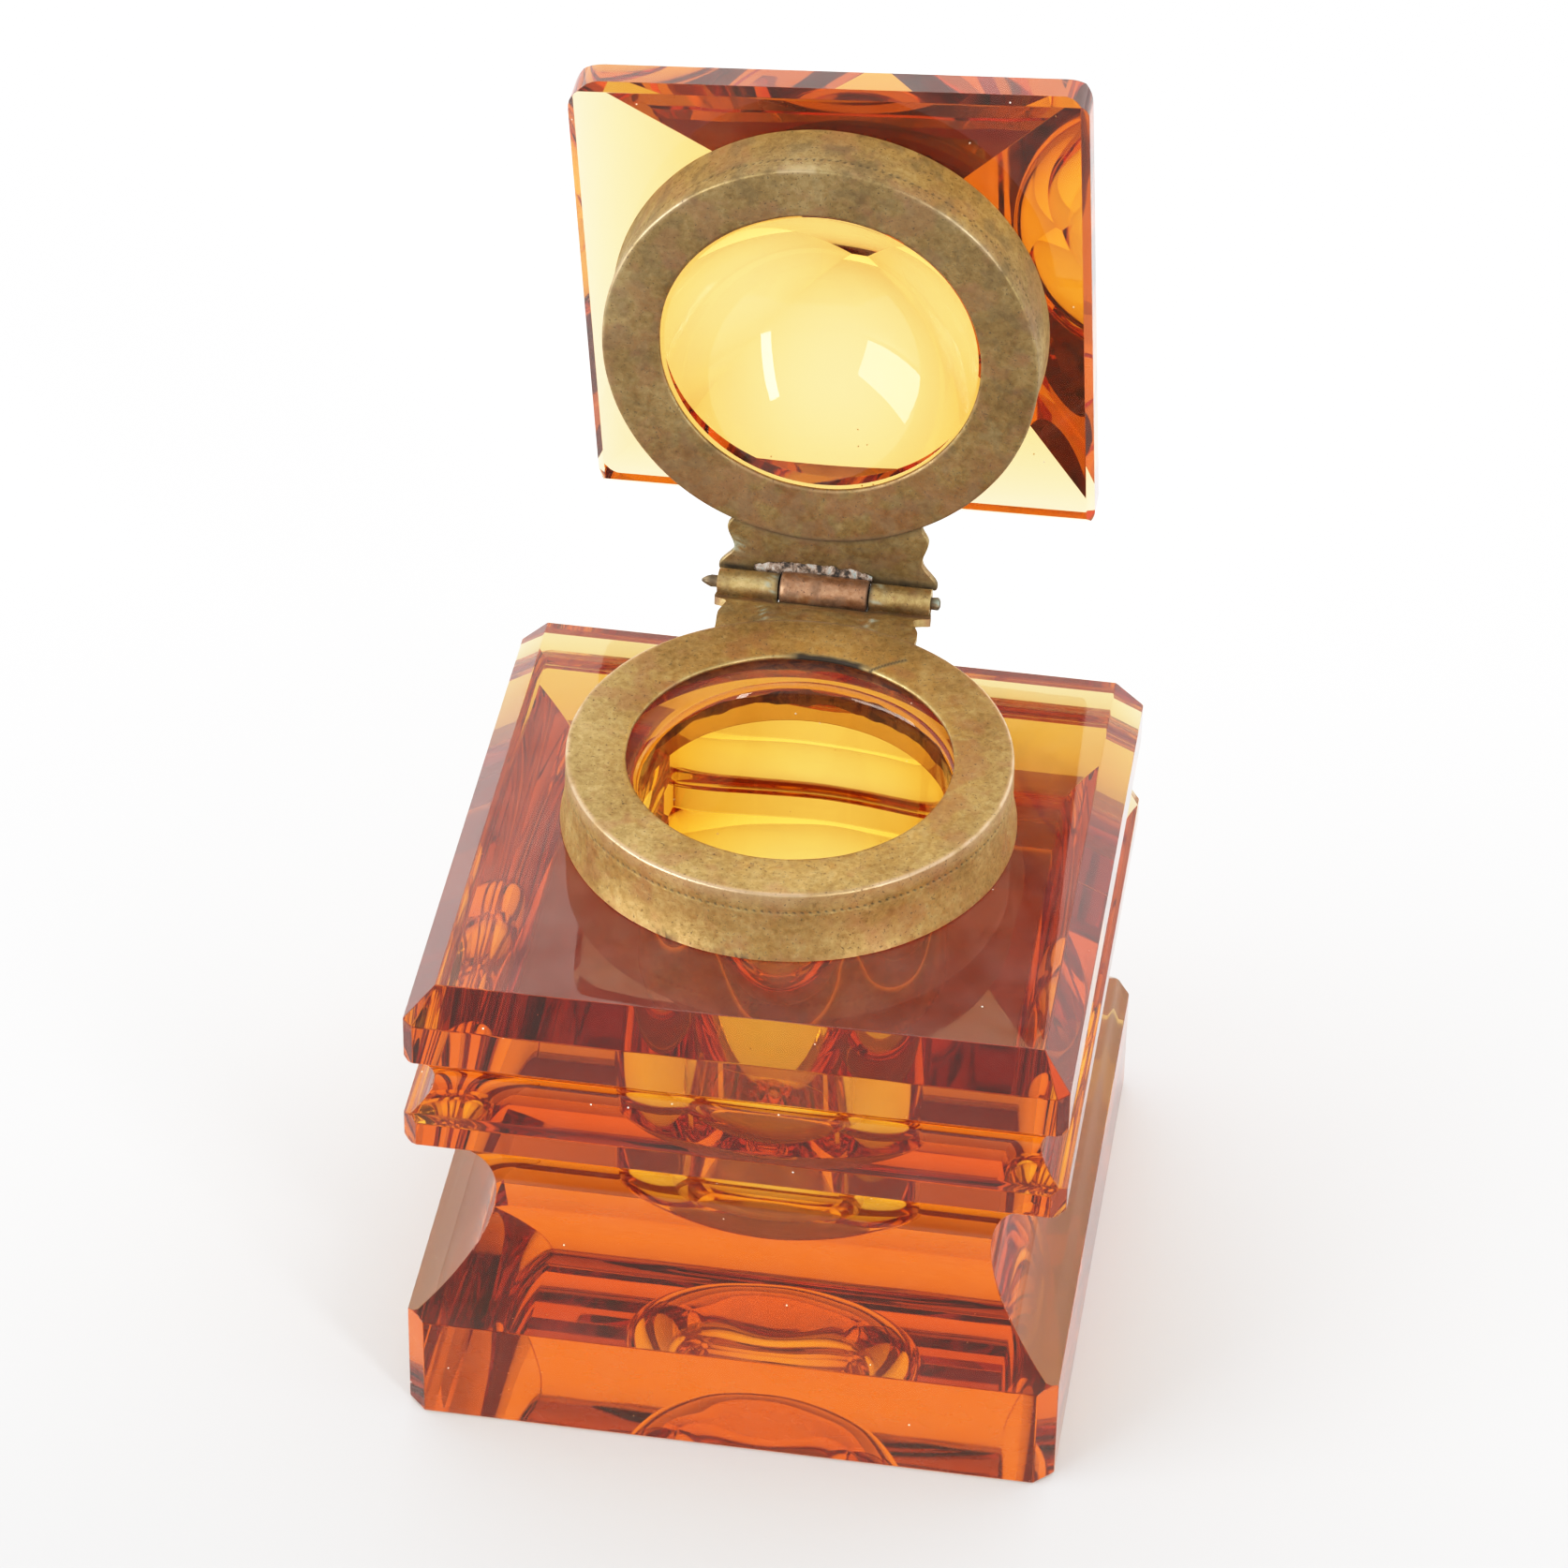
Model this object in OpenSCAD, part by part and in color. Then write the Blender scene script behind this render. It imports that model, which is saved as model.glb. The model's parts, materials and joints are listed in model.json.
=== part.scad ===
// Square glass inkwell with a hinged, pyramid-topped glass lid.
// Origin: centre of the underside, +Z up, front face towards -Y, hinge at the back (+Y).
// The lid is drawn open, resting against its stop.

/* [Glass body] */
// Width of the square base
base_w = 50; // [46:0.5:56]
// Width of the narrow band between the two coves
band_w = 49.7; // [46:0.1:49.9]
// Width of the top slab
slab_w = 49.4; // [46:0.1:49.9]
// Height of the straight foot under the large cove
foot_h = 9.1; // [7:0.1:10]
// Height of the large cove
cove_h = 17.9; // [15:0.1:18.5]
// Depth of the large cove
cove_depth = 6; // [3:0.1:7]
// Height of the band between the coves
band_h = 2.1; // [1.5:0.1:3]
// Height of the small cove
groove_h = 5.7; // [4:0.1:6]
// Depth of the small cove
groove_depth = 2.1; // [1:0.1:2.5]
// Half width of the ellipses that the coves are arcs of, as a multiple of their depth
cove_sharpness = 2.8; // [1.8:0.1:4]
// Height of the top slab up to the start of its bevel
slab_h = 3.5; // [2.5:0.1:5]
// Height of the bevel round the top face
bevel_h = 2.45; // [1.5:0.05:3]
// How far the bevel reaches in from the side
bevel_in = 2.2; // [1.5:0.1:3]
// Corner cut at the two front corners, along each side
front_cut = 1.45; // [0.5:0.05:2]
// Corner cut at the two back corners, along each side
back_cut = 2.1; // [0.5:0.1:2.5]

/* [Ink well] */
// Radius of the ink well
well_r = 11.8; // [9:0.1:11.9]
// Sideways place of the well in the block
well_x = 0.8; // [0:0.1:0.9]
// Distance of the well behind the centre of the block
well_y = -0.9; // [-1:0.1:0.3]
// Height of the bottom of the well above the underside
well_floor = 9; // [6:0.1:14]
// Radius of the round corner at the bottom of the well
well_round = 8; // [3:0.5:9]
// Distance of the moulded neck behind the centre of the block
neck_y = 0.5; // [0.2:0.1:0.8]
// Outer radius of the moulded neck
neck_r = 14.9; // [14.5:0.1:15]
// Height of the neck above the top face
neck_h = 5.2; // [4.5:0.1:5.3]

/* [Brass collars] */
// Distance of the well collar behind the centre of the block
collar_y = 1.5; // [1:0.1:1.8]
// Outer radius of the well collar
collar_r = 16.9; // [16.7:0.1:17.5]
// Height of the collar rim above the top face
collar_h = 6.15; // [6:0.05:7]
// Radius of the hole in the flat rim
rim_hole_r = 12.35; // [11.6:0.05:13]
// Thickness of the brass sheet
sheet_t = 0.6; // [0.4:0.05:0.7]
// How far the skirt of the well collar flares out at the glass
skirt_flare = 0.45; // [0.2:0.05:0.8]
// Outer radius of the lid collar
lid_collar_r = 16.8; // [16.6:0.1:17.5]
// How far the skirt of the lid collar flares out at the glass
lid_skirt_flare = 0.15; // [0.1:0.05:0.5]

/* [Lid glass] */
// Width of the lid glass along its back edge
lid_w = 39.2; // [37:0.1:42]
// How much wider the lid glass is at its front edge
lid_wide_front = 0.55; // [0:0.05:1]
// Depth of the lid glass along its right side
lid_d = 38.3; // [37:0.1:42]
// How much shorter the left side is at its front corner
lid_short_front = 0.6; // [0:0.1:1.5]
// How much shorter the left side is at its back corner
lid_short_back = 1.4; // [0:0.1:2]
// Height of the straight edge of the lid glass
lid_edge_h = 3.15; // [2:0.05:4]
// Slope of the front facet on the outside of the lid
lid_front_slope = 34; // [20:0.5:36]
// Slope of the right-hand facet
lid_right_slope = 35; // [20:0.5:36]
// Slope of the back facet
lid_back_slope = 31.5; // [20:0.5:36]
// Slope of the left-hand facet
lid_left_slope = 30.5; // [20:0.5:36]
// Ground bevel round the underside of the lid glass
lid_bevel = 0.6; // [0.4:0.1:1.2]
// Radius of the four vertical corners of the lid glass
lid_corner_r = 1.6; // [0.6:0.1:2.5]
// Radius of the hollow in the lid at its mouth
lid_hollow_r = 12.1; // [9:0.1:12.2]
// Depth of the hollow in the lid
lid_hollow_depth = 8.3; // [3:0.1:9]

/* [Hinge] */
// Sideways place of the middle of the hinge
hinge_x = -0.6; // [-1:0.1:1]
// Distance of the hinge axis behind the centre of the block
hinge_y = 22.85; // [22.5:0.05:23.5]
// Height of the hinge axis below the collar rim
hinge_drop = 0.65; // [0.4:0.05:0.8]
// Width of the hinge over its outer knuckles
hinge_w = 17; // [15:0.5:19]
// Length of the middle knuckle
middle_knuckle_w = 6.9; // [5:0.1:8]
// Outer radius of the middle knuckle
middle_knuckle_r = 1.35; // [1.2:0.05:1.4]
// Outer radius of the rolled outer knuckles
outer_knuckle_r = 1.1; // [0.9:0.05:1.15]
// Radius of the hinge pin
pin_r = 0.5; // [0.4:0.05:0.6]
// Running clearance round the pin in the middle knuckle
pin_clearance = 0.05; // [0.02:0.01:0.08]
// Gap left between the closed rims
rim_gap = 0.1; // [0.05:0.05:0.3]
// Angle of the lid above the closed position
lid_open = 91; // [60:1:95]
// Angle by which the lid is soldered on askew, turned about the middle of the hinge
lid_skew = 3.3; // [0:0.1:4]

/* [Hidden] */
$fn = 96;
far = 100;                                  // longer than any part, for cutting tools
skin = 0.01;                                // overlap that makes two drawn solids one

// Heights of the glass body, from the underside up
cove_z = foot_h;
band_z = cove_z + cove_h;
groove_z = band_z + band_h;
slab_z = groove_z + groove_h;
bevel_z = slab_z + slab_h;
top_z = bevel_z + bevel_h;
neck_top_z = top_z + neck_h;
lip_r = 0.9;                                // rounding of the mouth of the neck
rim_z = top_z + collar_h;

// Collars
skirt_h = 1.1;                              // height of the flared part of a collar
skirt_gap = 0.05;                           // the brass doesn't bear on the glass
rim_edge_r = 0.35;                          // rounding where the rim turns down into the wall
cement_gap = 0.5;                           // the cement stops short of the skirt's edge
cement_hole_r = rim_hole_r + 0.35;          // and short of the hole in the rim

// Lid, in its closed position
lid_rim_z = rim_z + rim_gap;
lid_collar_h = 5.75;                        // lid rim to the underside of the lid glass
lid_glass_z = lid_rim_z + lid_collar_h + skirt_gap;
lid_collar_x = -0.4;                        // the lid collar sits a little left of the glass
lid_collar_y = 1.85;
lid_boss_r = 15.7;
lid_boss_z = lid_rim_z + sheet_t + 0.4;
lid_slopes = [lid_front_slope, lid_right_slope, lid_back_slope, lid_left_slope];
lid_front_y = -18.55;                       // the front edge at its right-hand end
lid_right_x = 19.75;

// Hinge
hinge_z = rim_z - hinge_drop;
knuckle_gap = 0.1;
knuckle_clear = 0.3;                        // room round the middle knuckle in the lower leaf
leaf_bulge_w = 15.6;                        // width of a leaf where it meets its collar
leaf_waist_w = 14.6;                        // width at the waist of the ogee
waist_r = 1.3;
lower_leaf_z = rim_z - sheet_t - 0.1;       // underside of the lower leaf at the collar
upper_leaf_z = hinge_z + outer_knuckle_r + 0.15;
upper_leaf_end = hinge_y - 0.25;
solder_w = 0.8;                             // width of a solder fillet
pin_left = 1.2;                             // how far the pin stands out to the left
pin_right = 0.6;

brass = [0.62, 0.54, 0.35];
copper = [0.72, 0.50, 0.36];
solder_grey = [0.62, 0.62, 0.60];
plaster = [0.80, 0.76, 0.68];
amber = [0.85, 0.38, 0.10, 0.75];

function heading(v) = atan2(v[1], v[0]);

// An ellipse that cuts a hollow of the given depth between two points of an outline
module hollow_cut(p, q, depth) {
    chord = q - p;
    outward = [chord[1], -chord[0]] / norm(chord);
    reach = depth * cove_sharpness;
    height = norm(chord) / 2 / sqrt(1 - pow(1 - depth / reach, 2));
    translate((p + q) / 2 + outward * (reach - depth)) {
        rotate(heading(outward)) scale([reach / height, 1]) circle(height);
    }
}

// Cross-section of the glass block, the same from the front and from the side
module block_section() {
    right = [
        [base_w / 2, 0], [base_w / 2, cove_z], [band_w / 2, band_z], [band_w / 2, groove_z],
        [slab_w / 2, slab_z], [slab_w / 2, bevel_z], [slab_w / 2 - bevel_in, top_z]
    ];
    left = [for (i = [len(right) - 1 : -1 : 0]) [-right[i][0], right[i][1]]];
    difference() {
        polygon(concat(right, left));
        for (side = [0, 1]) mirror([side, 0]) {
            hollow_cut([base_w / 2, cove_z], [band_w / 2, band_z], cove_depth);
            hollow_cut([band_w / 2, groove_z], [slab_w / 2, slab_z], groove_depth);
        }
    }
}

// Plan of the block with its corners cut off
module block_plan() {
    h = base_w / 2;
    f = front_cut;
    b = back_cut;
    polygon([
        [-h + f, -h], [h - f, -h], [h, -h + f], [h, h - b],
        [h - b, h], [-h + b, h], [-h, h - b], [-h, -h + f]
    ]);
}

// Half section of the ink well, up to a given height
module well_section(top) {
    corner_x = well_r - well_round;
    translate([0, well_floor + well_round]) square([well_r, top - well_floor - well_round]);
    translate([0, well_floor]) square([corner_x, well_round + skin]);
    intersection() {
        translate([corner_x, well_floor + well_round]) circle(well_round);
        translate([0, well_floor]) square([well_r, well_round + skin]);
    }
}

// Rounded lip, as the half section of what it takes off the mouth of the neck
module lip_section() {
    translate([well_r, neck_top_z - lip_r]) difference() {
        translate([-skin, 0]) square([lip_r + skin, lip_r + skin]);
        translate([lip_r, 0]) circle(lip_r);
    }
}

module glass_body() {
    color(amber) difference() {
        union() {
            intersection() {
                rotate([90, 0, 90]) linear_extrude(far, center = true) block_section();
                rotate([90, 0, 0]) linear_extrude(far, center = true) block_section();
                linear_extrude(far) block_plan();
            }
            translate([0, neck_y, top_z - 1]) cylinder(h = neck_h + 1, r = neck_r);
        }
        translate([well_x, well_y, 0]) rotate_extrude() {
            well_section(neck_top_z + 1);
            lip_section();
        }
    }
}

// Half section of a collar: flat rim, wall and flared skirt. Height 0 is the rim, and the
// skirt's edge is at the given depth below it.
module collar_section(r, depth, flare) {
    inner = r - sheet_t;
    skirt_z = skirt_h - depth;
    difference() {
        polygon([
            [rim_hole_r, 0], [r, 0], [r, skirt_z], [r + flare, -depth],
            [inner + flare, -depth], [inner, skirt_z], [inner, -sheet_t], [rim_hole_r, -sheet_t]
        ]);
        translate([r - rim_edge_r, -rim_edge_r]) difference() {
            square(rim_edge_r + skin);
            circle(rim_edge_r);
        }
    }
}

// Half section of the cement inside a collar, before the neck is taken out of it
module cement_section(r, depth) {
    inner = r - sheet_t;
    translate([cement_hole_r, cement_gap - depth]) square([inner - cement_hole_r, depth - cement_gap - sheet_t]);
}

module well_collar() {
    color(brass) translate([0, collar_y, rim_z]) rotate_extrude() {
        collar_section(collar_r, collar_h - skirt_gap, skirt_flare);
    }
}

module well_cement() {
    color(plaster) difference() {
        translate([0, collar_y, rim_z]) rotate_extrude() cement_section(collar_r, collar_h);
        translate([0, neck_y, 0]) cylinder(h = neck_top_z, r = neck_r);
    }
}

// Plan of one hinge leaf: wide at the knuckles, a waist on each side, and a bulge at its
// collar. The waist is at waist_y and the leaf ends at end_y.
module leaf_plan(waist_y, end_y) {
    start_y = hinge_y - 10;
    cut_x = leaf_waist_w / 2 + waist_r;
    translate([hinge_x, 0]) difference() {
        union() {
            translate([-leaf_bulge_w / 2, start_y]) square([leaf_bulge_w, waist_y - start_y]);
            translate([-hinge_w / 2, waist_y]) square([hinge_w, end_y - waist_y]);
        }
        for (side = [-1, 1]) translate([side * cut_x, waist_y]) circle(waist_r);
    }
}

// A cylinder on the hinge axis, from x0 to x1
module on_axis(r, x0, x1) {
    translate([x0, hinge_y, hinge_z]) rotate([0, 90, 0]) cylinder(h = x1 - x0, r = r);
}

middle_x0 = hinge_x - middle_knuckle_w / 2;
middle_x1 = hinge_x + middle_knuckle_w / 2;
outer_x0 = hinge_x - hinge_w / 2;
outer_x1 = hinge_x + hinge_w / 2;

// The lower leaf dips from the rim to the underside of the knuckles that are rolled from it
module well_leaf() {
    bend_y = hinge_y - 3.4;                 // behind the solder fillet
    under = hinge_z - outer_knuckle_r;
    color(brass) difference() {
        union() {
            intersection() {
                linear_extrude(far) leaf_plan(hinge_y - 3.5, hinge_y);
                translate([outer_x0, 0, 0]) rotate([90, 0, 90]) linear_extrude(hinge_w) polygon([
                    [collar_y, lower_leaf_z], [bend_y, lower_leaf_z], [bend_y + 1.2, under],
                    [hinge_y, under], [hinge_y, under + sheet_t], [bend_y + 1.4, under + sheet_t],
                    [bend_y + 0.2, lower_leaf_z + sheet_t], [collar_y, lower_leaf_z + sheet_t]
                ]);
            }
            on_axis(outer_knuckle_r, outer_x0, outer_x1);
        }
        translate([0, collar_y, top_z]) cylinder(h = far, r = collar_r);
        on_axis(middle_knuckle_r + knuckle_clear, middle_x0 - knuckle_gap, middle_x1 + knuckle_gap);
        on_axis(pin_r, outer_x0 - 1, outer_x1 + 1);
    }
}

// Solder fillet along the outside of a collar wall, facing the hinge
module collar_solder(r, half_angle) {
    rotate([0, 0, 90 - half_angle]) rotate_extrude(angle = 2 * half_angle) {
        polygon([[r, 0], [r + solder_w, 0], [r, -solder_w]]);
    }
}

module well_leaf_solder() {
    color(solder_grey) translate([0, collar_y, lower_leaf_z]) collar_solder(collar_r, 22);
}

module hinge_pin() {
    tip = 0.5;
    color(brass) {
        on_axis(pin_r, outer_x0 - pin_left + tip, outer_x1 + pin_right - tip / 2);
        translate([outer_x0 - pin_left + tip + skin, hinge_y, hinge_z]) {
            rotate([0, -90, 0]) cylinder(h = tip, r1 = pin_r, r2 = pin_r / 2);
        }
        translate([outer_x1 + pin_right - tip / 2 - skin, hinge_y, hinge_z]) {
            rotate([0, 90, 0]) cylinder(h = tip / 2, r1 = pin_r, r2 = pin_r * 0.7);
        }
    }
}

// Turns the closed lid up about the hinge axis
module opened() {
    translate([0, hinge_y, hinge_z]) rotate([-lid_open, 0, 0]) translate([0, -hinge_y, -hinge_z]) children();
}

// Turns the closed lid askew about the middle of the hinge
module skewed() {
    translate([hinge_x, hinge_y, 0]) rotate([0, 0, -lid_skew]) translate([-hinge_x, -hinge_y, 0]) children();
}

// Corners of the lid glass, anticlockwise from the front left
lid_corners = [
    [lid_right_x - lid_w - lid_wide_front, lid_front_y + lid_short_front],
    [lid_right_x, lid_front_y],
    [lid_right_x, lid_front_y + lid_d],
    [lid_right_x - lid_w, lid_front_y + lid_d - lid_short_back]
];

// Points of a rounded corner at c, between the edges to its two neighbours a and b
function corner_arc(a, c, b, r, steps) =
    let (
        start = heading(c - a) - 90,
        turn = (heading(b - c) - heading(c - a) + 360) % 360,
        setback = r / cos(turn / 2),
        centre = c - setback * [cos(start + turn / 2), sin(start + turn / 2)]
    )
    [for (i = [0 : steps]) centre + r * [cos(start + turn * i / steps), sin(start + turn * i / steps)]];

function rounded(corners, r, steps) = [
    for (i = [0 : 3]) each corner_arc(corners[(i + 3) % 4], corners[i], corners[(i + 1) % 4], r, steps)
];

// Stands on one edge of the lid glass at a given height, with +X along it and +Y inwards
module on_lid_edge(i, z) {
    edge = lid_corners[(i + 1) % 4] - lid_corners[i];
    translate([lid_corners[i][0], lid_corners[i][1], z]) rotate([0, 0, heading(edge)]) children();
}

// Everything under the four facets, which rise inwards, and above the ground bevel underneath
module lid_facets() {
    intersection_for(i = [0 : 3]) {
        intersection() {
            on_lid_edge(i, lid_glass_z + lid_edge_h) rotate([lid_slopes[i], 0, 0]) {
                translate([-far, -far, -2 * far]) cube([3 * far, 3 * far, 2 * far]);
            }
            on_lid_edge(i, lid_glass_z + lid_bevel) rotate([-45, 0, 0]) {
                translate([-far, -far, 0]) cube([3 * far, 3 * far, 2 * far]);
            }
        }
    }
}

module lid_glass_closed() {
    dome_r = (pow(lid_hollow_r, 2) + pow(lid_hollow_depth, 2)) / (2 * lid_hollow_depth);
    difference() {
        union() {
            intersection() {
                translate([0, 0, lid_glass_z]) linear_extrude(far) {
                    polygon(rounded(lid_corners, lid_corner_r, 4));
                }
                lid_facets();
            }
            translate([lid_collar_x, lid_collar_y, lid_boss_z]) {
                cylinder(h = lid_glass_z - lid_boss_z + 1, r = lid_boss_r);
            }
        }
        translate([lid_collar_x, lid_collar_y, lid_boss_z + lid_hollow_depth - dome_r]) sphere(dome_r);
    }
}

module lid_glass() {
    color(amber) opened() skewed() lid_glass_closed();
}

module lid_collar_place() {
    opened() skewed() translate([lid_collar_x, lid_collar_y, lid_rim_z]) mirror([0, 0, 1]) children();
}

module lid_collar() {
    color(brass) lid_collar_place() rotate_extrude() {
        collar_section(lid_collar_r, lid_collar_h, lid_skirt_flare);
    }
}

module lid_cement() {
    color(plaster) lid_collar_place() difference() {
        rotate_extrude() cement_section(lid_collar_r, lid_collar_h);
        translate([0, 0, -far]) cylinder(h = far - (lid_boss_z - lid_rim_z), r = lid_boss_r);
    }
}

// The upper leaf is flat and ends just short of the hinge axis
module lid_leaf() {
    color(brass) opened() difference() {
        translate([0, 0, upper_leaf_z]) linear_extrude(sheet_t) leaf_plan(hinge_y - 2.4, upper_leaf_end);
        skewed() translate([lid_collar_x, lid_collar_y, 0]) cylinder(h = far, r = lid_collar_r);
    }
}

module lid_leaf_solder() {
    color(solder_grey) lid_collar_place() {
        translate([0, 0, lid_rim_z - upper_leaf_z - sheet_t]) collar_solder(lid_collar_r, 22);
    }
}

module middle_knuckle() {
    color(copper) opened() difference() {
        on_axis(middle_knuckle_r, middle_x0, middle_x1);
        on_axis(pin_r + pin_clearance, middle_x0 - 1, middle_x1 + 1);
        translate([middle_x0 - 1, hinge_y - 2, upper_leaf_z]) cube([middle_knuckle_w + 2, 4, 1]);
    }
}

// Fillet between the front of the middle knuckle and the inner face of the upper leaf
module knuckle_solder() {
    color(solder_grey) opened() difference() {
        translate([middle_x0 - 1.5, 0, 0]) rotate([90, 0, 90]) linear_extrude(middle_knuckle_w + 1.5) polygon([
            [hinge_y - 2, upper_leaf_z], [hinge_y - 1.3, hinge_z + 0.6], [hinge_y - 0.6, hinge_z + 1],
            [upper_leaf_end, upper_leaf_z]
        ]);
        on_axis(middle_knuckle_r, middle_x0, middle_x1 + 1);
        on_axis(outer_knuckle_r + 0.12, outer_x0, middle_x0 + skin);
    }
}

glass_body();
well_cement();
well_collar();
well_leaf();
well_leaf_solder();
hinge_pin();
lid_glass();
lid_cement();
lid_collar();
lid_leaf();
lid_leaf_solder();
middle_knuckle();
knuckle_solder();
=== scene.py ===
"""Looks of the amber glass inkwell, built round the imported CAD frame.

Lengths are in millimetres in the row frame; they become metres when a mesh is finished. Pieces of the lid
are built closed, level over the well, and then turned open about the hinge as the CAD lid is.
"""
import json
import math

import bmesh
import bpy
from mathutils import Matrix, Vector, noise


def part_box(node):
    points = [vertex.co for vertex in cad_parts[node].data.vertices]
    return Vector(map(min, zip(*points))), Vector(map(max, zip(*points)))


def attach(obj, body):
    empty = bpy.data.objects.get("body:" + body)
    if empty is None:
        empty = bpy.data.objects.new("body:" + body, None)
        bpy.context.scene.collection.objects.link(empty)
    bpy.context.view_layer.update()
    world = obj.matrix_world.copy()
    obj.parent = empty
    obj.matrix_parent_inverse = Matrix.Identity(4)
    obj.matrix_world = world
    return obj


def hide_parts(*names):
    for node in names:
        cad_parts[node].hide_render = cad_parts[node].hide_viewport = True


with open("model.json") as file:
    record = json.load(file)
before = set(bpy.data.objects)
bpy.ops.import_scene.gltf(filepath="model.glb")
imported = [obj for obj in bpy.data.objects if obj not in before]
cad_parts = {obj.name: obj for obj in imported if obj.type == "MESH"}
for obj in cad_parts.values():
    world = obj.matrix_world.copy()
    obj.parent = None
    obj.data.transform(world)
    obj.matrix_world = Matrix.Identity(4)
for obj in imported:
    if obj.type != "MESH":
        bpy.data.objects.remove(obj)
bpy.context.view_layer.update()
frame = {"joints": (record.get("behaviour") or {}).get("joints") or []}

MM = 0.001


# ---------------------------------------------------------------- measures taken from the frame
def box_mm(node):
    """Corners of a CAD node's box, in millimetres."""
    low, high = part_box(node)
    return low / MM, high / MM


body_high = box_mm("glass_body")[1]
collar_low, collar_high = box_mm("well_collar")
pin_low, pin_high = box_mm("hinge_pin")
middle_low, middle_high = box_mm("middle_knuckle")
hinge = frame["joints"][0]
HINGE = Vector(hinge["pos_m"]) / MM
LID_OPEN = math.radians(hinge["range_deg"][1])
BASE_HALF = body_high.x
NECK_TOP = body_high.z
RIM_Z = collar_high.z
COLLAR_AT = (0.0, (collar_low.y + collar_high.y) / 2)
SKIRT_R = (collar_high.x - collar_low.x) / 2
MIDDLE_HALF = (middle_high.x - middle_low.x) / 2
MIDDLE_R = (middle_high.z - middle_low.z) / 2
PIN_R = (pin_high.z - pin_low.z) / 2

# ---------------------------------------------------------------- measures repeated from the design
# Glass body, from the table up: foot, cove, band, groove, slab and bevel
FOOT_Z, COVE_Z, BAND_Z, GROOVE_Z, BEVEL_Z, TOP_Z = 9.1, 27.0, 29.1, 34.8, 38.3, 40.75
BAND_HALF, SLAB_HALF = 24.85, 24.7
COVE_DEPTH, GROOVE_DEPTH, COVE_SHARPNESS = 6.0, 2.1, 2.8
BEVEL_IN = 2.2
TOP_SLANT = 0.4  # the front edge of the top face isn't quite square
FRONT_CUT, BACK_CUT = 1.45, 2.1  # width of the cut corners
NECK_AT, NECK_R = (0.0, 0.5), 14.9
WELL_AT, WELL_R, WELL_FLOOR, WELL_ROUND, LIP_R = (0.8, -0.9), 11.8, 9.0, 8.0, 0.9

# Brass
AIR = 0.05  # between the brass and the glass
SHEET = 0.6
LEAF_SUNK = 0.15  # how far a leaf runs into its collar
RIM_HOLE_R = 12.35
SKIRT_FLARE, LID_SKIRT_FLARE = 0.45, 0.15
COLLAR_R = SKIRT_R - SKIRT_FLARE
COLLAR_H = RIM_Z - TOP_Z - AIR
KNUCKLE_R = 1.1
UPPER_LEAF_Z = HINGE.z + KNUCKLE_R + 0.15
HINGE_X = (middle_low.x + middle_high.x) / 2
SLOT_HALF = MIDDLE_HALF + 0.12  # half the slot in the lower leaf, for the middle knuckle
LEAF_HALF = 8.45

# Lid, in its closed position; the corners, radii and slopes go round from the front left
LID_SKEW = math.radians(3.3)
LID_RIM_Z = RIM_Z + 0.1
LID_COLLAR_R = 16.8
LID_COLLAR_H = 5.75
LID_COLLAR_AT = (-0.4, 1.85)
LID_GLASS_Z = LID_RIM_Z + LID_COLLAR_H + AIR
LID_CORNERS = ((-20.0, -17.95), (19.75, -18.55), (19.75, 19.75), (-19.45, 18.35))
LID_CORNER_RADII = (2.6, 1.9, 0.9, 1.5)
LID_SLOPES = (34.0, 35.0, 31.5, 30.5)
LID_EDGE_H, LID_BEVEL = 3.15, 0.6
LID_BOSS_R, LID_BOSS_Z = 15.7, LID_RIM_Z + SHEET + 0.4
LID_HOLLOW_R, LID_HOLLOW_DEPTH, LID_HOLLOW_SHARPNESS = 12.1, 8.3, 2.4

# Wear and fineness
ROUND = 160  # segments of a full turn on the glass
BEADS = 180  # punched dots round a collar
BEAD_Z, BEAD_DEPTH, BEAD_ROW = -1.65, 0.09, 0.16  # place under the rim, depth, half the height
RIM_ROWS = 22  # rings of vertices on the flat of a collar
RIM_PLAY, FLARE_PLAY = 0.03, 0.05  # room for a collar's unevenness inside the CAD box
WALL_H = 2.4  # the straight part of a collar's wall, over the flare


# ---------------------------------------------------------------- mesh helpers
def lid_matrices():
    """Matrices that open the closed lid about the hinge: as it is, and askew."""
    to_hinge, from_hinge = Matrix.Translation(-HINGE), Matrix.Translation(HINGE)
    opened = from_hinge @ Matrix.Rotation(-LID_OPEN, 4, "X") @ to_hinge
    askew = from_hinge @ Matrix.Rotation(-LID_SKEW, 4, "Z") @ to_hinge
    return opened, opened @ askew


OPENED, OPENED_ASKEW = lid_matrices()


def wobble(point, size, amount, seed=0.0):
    """Smooth noise of the given feature size, from -amount to amount."""
    return amount * noise.noise(Vector(point) / size + Vector((seed, seed * 0.7, -seed)))


def blotch(point, size, level, seed=0.0):
    """Patches from 0 to 1 that cover less as the level rises."""
    value = noise.fractal(Vector(point) / size + Vector((seed, -seed, seed * 0.3)), 1.0, 2.0, 3)
    return min(1.0, max(0.0, (value - level) * 4))


def near(value, target, reach):
    """1 at the target, falling smoothly to 0 at the given reach."""
    t = min(1.0, abs(value - target) / reach)
    return 1 - t * t * (3 - 2 * t)


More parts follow.
